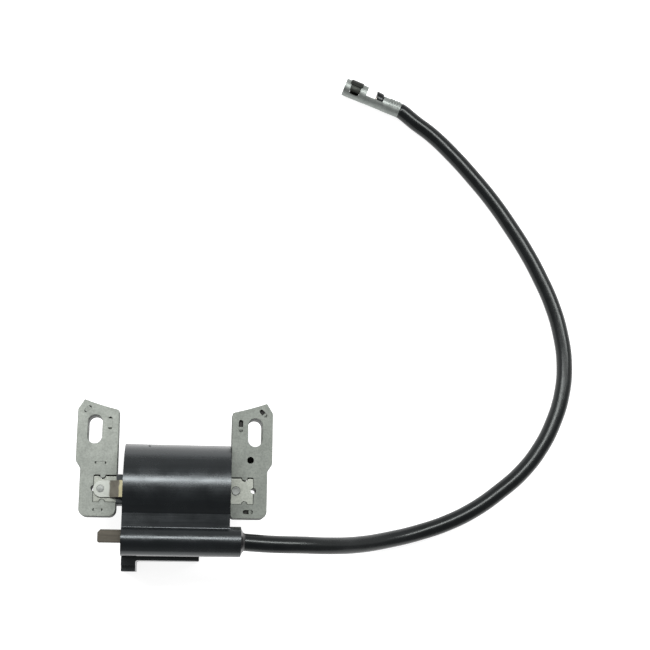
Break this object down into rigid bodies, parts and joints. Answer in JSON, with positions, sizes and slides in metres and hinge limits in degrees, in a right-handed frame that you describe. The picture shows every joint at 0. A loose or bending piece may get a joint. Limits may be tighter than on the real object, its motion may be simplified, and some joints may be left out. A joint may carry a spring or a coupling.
{
  "type": "magneto ignition coil",
  "caption": "Small-engine magneto ignition coil: laminated U-shaped armature, round potted coil housing, blade kill terminal, ground strap and spark plug lead with a stamped clip terminal.",
  "frame": {"origin": "midway between the centres of the two mounting slots, on the mounting (back) face of the laminated legs", "axes": "+X along the core bar toward the end where the spark plug lead leaves, +Y toward the flywheel rim that the pole faces follow, +Z out of the coil's front face; the coil lies on its open back"},
  "size_m": [0.2206, 0.2286, 0.0388],
  "materials": {
    "laminated_steel": "satin, pale grey-green zinc look, stamped sheets",
    "bar_steel": "satin, slightly lighter than the legs",
    "rivet_steel": "satin",
    "black_plastic": "satin moulded glass-filled plastic",
    "natural_plastic": "moulded natural nylon",
    "copper_wire": "enamelled copper",
    "fine_copper": "dark enamelled copper",
    "tape": "polyester film",
    "epoxy": "cast black epoxy, slightly wavy",
    "strap_metal": "plated strip, pale yellow at the bend",
    "blade_metal": "dull grey-brown plated",
    "board": "green glass-fibre laminate",
    "component_black": "moulded epoxy",
    "component_tan": "lacquered",
    "component_orange": "dipped epoxy",
    "brass_pin": "satin",
    "wire_insulation": "sleeve",
    "lead_rubber": "semi-gloss black jacket",
    "stranded_wire": "tinned strands",
    "tinned_steel": "bright tinned strip",
    "spring_steel": "dark oiled spring steel"
  },
  "bodies": {
    "root": {"left_leg": "laminated_steel", "right_leg": "laminated_steel", "core_bar": "bar_steel", "rivet_left": "rivet_steel", "rivet_right": "rivet_steel", "primary_bobbin": "black_plastic", "primary_winding": "copper_wire", "primary_tape": "tape", "secondary_bobbin": "natural_plastic", "secondary_winding": "fine_copper", "coil_housing": "black_plastic", "potting_compound": "epoxy", "ground_strap": "strap_metal", "kill_terminal": "blade_metal", "trigger_board": "board", "power_transistor": "component_black", "trigger_transistor": "component_black", "trigger_resistors": "component_tan", "trigger_capacitor": "component_orange", "hv_contact_pin": "brass_pin", "primary_ground_wire": "copper_wire", "primary_board_wire": "copper_wire", "kill_wire": "wire_insulation", "hv_link_wire": "copper_wire", "lead_seal": "epoxy", "lead_jacket": "lead_rubber", "lead_conductor": "stranded_wire", "plug_terminal": "tinned_steel", "terminal_spring_clip": "spring_steel"}
  },
  "joints": []
}
